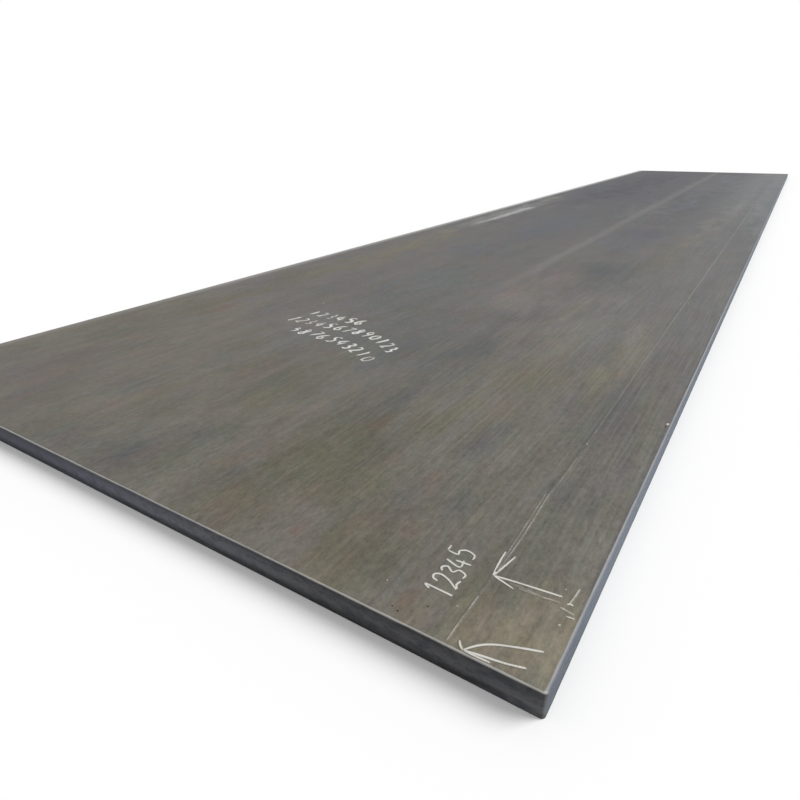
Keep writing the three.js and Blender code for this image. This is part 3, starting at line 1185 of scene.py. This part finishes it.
# The strokes of each digit, in hundredths of its height
DIGITS = {
    "0": (((42, 98), (12, 70), (10, 28), (36, 2), (62, 30), (62, 72), (42, 98)),),
    "1": (((22, 80), (40, 100), (36, 50), (30, 0)),),
    "2": (((8, 74), (18, 96), (44, 98), (58, 76), (42, 42), (6, 4), (34, 10), (66, 2)),),
    "3": (((10, 90), (36, 100), (56, 80), (30, 54), (58, 34), (42, 4), (8, 8)),),
    "4": (((40, 100), (6, 38), (66, 34)), ((50, 66), (44, 0))),
    "5": (((16, 100), (12, 60), (42, 60), (60, 34), (44, 4), (8, 4)), ((16, 100), (60, 98))),
    "6": (((52, 100), (20, 66), (10, 26), (34, 0), (60, 24), (40, 48), (14, 34)),),
    "7": (((6, 96), (62, 98), (40, 52), (26, 0)),),
    "8": (((52, 88), (26, 100), (12, 76), (52, 30), (32, 0), (10, 24), (50, 66), (52, 88)),),
    "9": (((56, 84), (30, 100), (12, 74), (34, 54), (58, 80), (48, 36), (34, 0)),),
}


def written(text, line, height, slim, pitch, seed):
    """The strokes of handwritten digits. `line` is the path that their feet stand on, and
    each digit stands `pitch` further along it, square to its chord, with a seeded sway."""
    draw = np.random.default_rng(seed)
    feet, walked = smooth_path(line, FOOT_STEP)
    right = feet[-1] - feet[0]
    right /= np.hypot(*right)
    strokes = []
    for number, digit in enumerate(text):
        shift, lean, growth, lift = draw.uniform(-1.0, 1.0, 4)
        at = pitch * (number + 0.06 * shift)
        foot = np.array([np.interp(at, walked, feet[:, i]) for i in (0, 1)])
        up = np.array((-right[1], right[0])) + right * (0.06 + 0.07 * lean)
        tall = height * (1.0 + 0.07 * growth)
        for stroke in DIGITS[digit]:
            across, rise = (np.array(stroke) / 100.0).T[:, :, None]
            strokes.append(foot + tall * (slim * across * right + (rise + 0.04 * lift) * up))
    return strokes


# Strokes drawn by hand: how hard the chalk is pressed, and the path
ARROW_STROKES = (
    (1.00, ((196, 181), (240, 186), (276, 188))),
    (0.95, ((196, 181), (236, 172), (272, 165))),
    (0.85, ((197, 180), (191, 158), (184, 133))),
    (1.05, ((197, 181), (203, 140), (208, 95), (213, 48))),
    (0.36, ((194, 150), (195, 110), (192, 80))),
    (0.66, ((200, 32), (224, 29), (250, 27))),
    (0.95, ((198, 36), (203, 30), (200, 24))),
    (0.36, ((190, 128), (191, 98), (193, 78))),
    (0.50, ((192, 82), (195, 62), (196, 48))),
    (0.60, ((186, 46), (183, 30), (180, 16))),
    (0.70, ((170, 29), (172, 12))),
    (0.85, ((143, 33), (146, 29))),
    (0.60, ((233, 50), (236, 48))),
    (1.00, ((6, 149), (14, 158), (23, 164))),
    (1.00, ((7, 150), (30, 131), (46, 108), (62, 70), (75, 33))),
    (1.00, ((7, 150), (14, 112), (20, 78), (29, 46))),
    (0.75, ((7, 150), (7, 126), (8, 100))),
)
SNAPPED_LINES = (
    (0.42, ((8, 182), (60, 182), (134, 181))),
    (0.41, ((205, 178), (300, 177), (400, 179), (527, 184))),
    (0.34, ((205, 182), (300, 184), (400, 187), (521, 191))),
    (0.31, ((520, 183), (600, 180), (720, 179))),
    (0.80, ((803, 178), (811, 178))),
    (0.28, ((813, 178), (930, 178))),
    (0.28, ((1080, 179), (1180, 179))),
    (0.08, ((930, 179), (1400, 180), (1900, 180))),
    (0.29, ((1902, 180), (4500, 180), (6800, 181))),
    (0.22, ((136, 181), (196, 181))),
)

# Rows of digits: digits, pitch, seed, and the line that their feet stand on
NUMBER_FOOT = ((93, 222), (170, 226), (250, 242))  # of the number by the corner
MIDDLE_ROWS = (
    ("123456", 56, 41, ((1352, 1672), (1346, 1518), (1348, 1358))),
    ("1234567890123", 54, 42,
     ((1236, 1700), (1238, 1478), (1232, 1298), (1222, 1241), (1180, 1155), (1106, 1046))),
    ("9876543210", 56, 43,
     ((1122, 1582), (1117, 1445), (1100, 1328), (1070, 1238), (1030, 1148), (978, 1078))),
)
ROW_DOT = ((1534, 1717), (1543, 1716))  # a dot beside the first row

# Flecks beside the cut edges: share of bright metal, along, across, length, width
FLECKS = (
    # The dark fleck at 1024 along is a painted shadow beside the bright one at 1045
    (1.0, 1045, 13, 17, 9), (0.0, 1024, 15, 12, 6), (0.0, 22, 289, 5, 5), (0.0, 27, 304, 4, 5),
    (0.0, 60, 248, 5, 4), (0.6, 77, 349, 4, 4), (0.5, 89, 203, 4, 5), (0.4, 2310, 12, 22, 8),
)


def from_corner(points):
    """Millimetres from the near right corner as metres in the frame."""
    return np.array((NEAR_END, RIGHT_SIDE)) + MM * np.asarray(points, float)


def chalk_piece(name, strokes, scene):
    """One piece of chalk from (weight, width, path) strokes."""
    sizes, marks = scene.plate_sizes, scene.chalk_marks
    prepare_groups(scene)
    parts = [ribbon(from_corner(path), width, weight, sizes, marks)
             for weight, width, path in strokes]
    points, faces, uv, weight = joined(parts)
    material = material_named("dry_chalk", chalk_material, marks)
    mesh = new_piece(name, points, faces, [material]).data
    lay_uv(mesh, "ChalkPath", uv[corner_numbers(mesh)])
    lay_values(mesh, "weight", weight)


# ---------------------------------------------------------------------------------------
# Operators


def make_floor(settings):
    """A plain square floor. The camera and mirrors see it light, and the plate gets less
    light back from it."""
    reach = FLOOR_REACH
    corners = [(-reach, -reach, 0.0), (reach, -reach, 0.0), (reach, reach, 0.0), (-reach, reach, 0.0)]
    material, tree, _, shader = new_material("floor")
    floor = placed("floor", new_mesh("floor", corners, [(0, 1, 2, 3)], [material]))
    eye = wires(put(tree, "LightPath"))
    seen = maths("MAXIMUM", eye["Is Camera Ray"], eye["Is Glossy Ray"])
    fill(shader, {
        "Base Color": blended(seen, settings.bounce, settings.floor),
        "Emission Color": WHITE, "Emission Strength": seen * settings.floor_lift,
        "Roughness": 1.0, "Specular IOR Level": 0.0,
    })


def make_sky(settings):
    """Even white light from all round. The camera and mirrors see it at full strength."""
    world = bpy.data.worlds.new("even_sky")
    world.use_nodes = True
    tree = world.node_tree
    tree.nodes.clear()
    eye = wires(put(tree, "LightPath"))
    seen = maths("MAXIMUM", eye["Is Glossy Ray"], eye["Is Transmission Ray"])
    seen = maths("MAXIMUM", eye["Is Camera Ray"], seen)
    strength = put(tree, "MapRange", {0: seen, 3: settings.sky, 4: 1.0}).outputs[0]
    sky = put(tree, "Background", {"Color": WHITE, "Strength": Wire(strength)})
    put(tree, "OutputWorld", {"Surface": Wire(sky.outputs[0])})
    return world


def make_lamp(settings):
    """One broad soft lamp. Its own +Z axis points back to where it shines from."""
    lamp = bpy.data.lights.new("soft_lamp", "SUN")
    lamp.energy = settings.lamp
    lamp.angle = settings.lamp_angle
    turn = Vector(settings.lamp_from).to_track_quat("Z", "Y")
    placed("soft_lamp", lamp).rotation_euler = turn.to_euler()


def make_camera(settings):
    """The camera looks along its own -Z axis. Upright as it is, it is then tilted a little
    about its line of sight."""
    camera = bpy.data.cameras.new("camera")
    camera.sensor_width = SENSOR_WIDTH
    camera.lens = settings.lens
    camera.clip_start, camera.clip_end = CLEAR_VIEW
    ahead = Vector(settings.look).normalized()
    right = ahead.cross(Vector((0, 0, 1))).normalized()
    upright = Matrix((right, right.cross(ahead), -ahead)).transposed()
    turn = upright @ Matrix.Rotation(settings.tilt, 3, "Z")
    holder = placed("camera", camera)
    holder.matrix_world = Matrix.Translation(settings.eye) @ turn.to_4x4()
    return holder


class PLATE_OT_make_stage(bpy.types.Operator):
    """Floor, soft lamp, even sky and camera"""

    bl_idname = "plate.make_stage"
    bl_label = "Stage"

    def execute(self, context):
        scene, settings = context.scene, context.scene.plate_stage
        scene.view_settings.view_transform = "Standard"
        make_floor(settings)
        scene.world = make_sky(settings)
        make_lamp(settings)
        scene.camera = make_camera(settings)
        return {"FINISHED"}


class PLATE_OT_make_body(bpy.types.Operator):
    """The plate: rolled faces, four cut faces with their arrises, and the underside"""

    bl_idname = "plate.make_body"
    bl_label = "Plate body"

    def execute(self, context):
        scene = context.scene
        prepare_groups(scene)
        made = plate_arrays(scene.plate_sizes)
        materials = [material_named("rolled_scale", scale_material, scene.mill_scale_finish),
                     material_named("flame_cut", cut_material, scene.cut_face_finish)]
        top, cut = made["top"], made["cut"].reshape(-1, 4)
        faces = [*top.tolist(), *cut.tolist(), *made["strips"].tolist(), *made["caps"]]
        piece = new_piece("plate_body", made["points"], faces, materials)
        number = np.arange(len(faces))
        upper = number < len(top) + len(cut)
        mesh = piece.data
        mesh.polygons.foreach_set("material_index", (upper & (number >= len(top))).astype(np.int32))
        mesh.polygons.foreach_set("use_smooth", upper)
        lay_uv(mesh, "OFBake", plate_layout(made))
        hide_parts(PLATE_NODE)
        return {"FINISHED"}


class PLATE_OT_make_numbers(bpy.types.Operator):
    """Plain digits chalked by the corner and in three rows on the middle of the plate"""

    bl_idname = "plate.make_numbers"
    bl_label = "Chalk numbers"

    def execute(self, context):
        scene, marks = context.scene, context.scene.chalk_marks
        number = written(marks.number, NUMBER_FOOT, height=56, slim=0.72, pitch=30, seed=40)
        chalk_piece("chalk_number", [(1.0, marks.stroke, stroke) for stroke in number], scene)
        rows = [ROW_DOT]
        for text, pitch, seed, line in MIDDLE_ROWS:
            rows += written(text, line, height=66, slim=0.84, pitch=pitch, seed=seed)
        press = np.random.default_rng(44).uniform(0.0, 1.0, (len(rows), 2))
        bold = [(0.60 + 0.75 * hard, marks.bold * (0.9 + 0.6 * wide), stroke)
                for stroke, (hard, wide) in zip(rows, press)]
        chalk_piece("chalk_rows", bold, scene)
        return {"FINISHED"}


class PLATE_OT_make_lines(bpy.types.Operator):
    """Chalk arrows, ticks and snapped lines that set the plate out"""

    bl_idname = "plate.make_lines"
    bl_label = "Chalk lines"

    def execute(self, context):
        scene, marks = context.scene, context.scene.chalk_marks
        arrows = [(weight, marks.stroke, path) for weight, path in ARROW_STROKES]
        chalk_piece("chalk_arrows", arrows, scene)
        lines = [(weight, marks.line, path) for weight, path in SNAPPED_LINES]
        chalk_piece("chalk_line", lines, scene)
        return {"FINISHED"}


class PLATE_OT_make_flecks(bpy.types.Operator):
    """Small flat flecks of slag and bright metal beside the cut edges, and one dark fleck that is a
    painted shadow
    """

    bl_idname = "plate.make_flecks"
    bl_label = "Flecks"

    def execute(self, context):
        scene = context.scene
        prepare_groups(scene)
        points, faces, share = [], [], []
        for bright, along, across, long, wide in FLECKS:
            dome, dome_faces = fleck(from_corner((along, across)), MM * long, MM * wide,
                                     scene.plate_sizes, scene.chalk_marks.height)
            faces += [[n + len(share) for n in face] for face in dome_faces]
            points.append(dome)
            share += [bright] * len(dome)
        material = material_named("fleck", fleck_material, scene.cut_face_finish)
        piece = new_piece("edge_flecks", np.concatenate(points), faces, [material])
        lay_values(piece.data, "bright", share)
        return {"FINISHED"}


class VIEW3D_PT_steel_plate(bpy.types.Panel):
    """Lists the plate's operators and values"""

    bl_idname = "VIEW3D_PT_steel_plate"
    bl_label = "Steel Plate"
    bl_space_type = "VIEW_3D"
    bl_region_type = "UI"
    bl_category = "Steel Plate"

    def draw(self, context):
        for operator in OPERATORS:
            self.layout.operator(operator.bl_idname)
        for holder in GROUPS:
            values = getattr(context.scene, holder)
            box = self.layout.box()
            box.label(text=holder.replace("_", " "))
            for name in values.__annotations__:
                box.prop(values, name)


OPERATORS = (PLATE_OT_make_stage, PLATE_OT_make_body, PLATE_OT_make_numbers, PLATE_OT_make_lines,
             PLATE_OT_make_flecks)
GROUPS = {
    "plate_sizes": PlateSizes,
    "mill_scale_finish": MillScaleFinish,
    "cut_face_finish": CutFaceFinish,
    "chalk_marks": ChalkMarks,
    "plate_stage": StageSettings,
}


def register():
    for made in (*GROUPS.values(), *OPERATORS, VIEW3D_PT_steel_plate):
        bpy.utils.register_class(made)
    for name, kind in GROUPS.items():
        setattr(bpy.types.Scene, name, PointerProperty(type=kind))


def unregister():
    for name in GROUPS:
        delattr(bpy.types.Scene, name)
    for made in reversed((*GROUPS.values(), *OPERATORS, VIEW3D_PT_steel_plate)):
        bpy.utils.unregister_class(made)


def main():
    register()
    bpy.ops.plate.make_stage()
    bpy.ops.plate.make_body()
    bpy.ops.plate.make_numbers()
    bpy.ops.plate.make_lines()
    bpy.ops.plate.make_flecks()


if __name__ == "__main__":
    main()
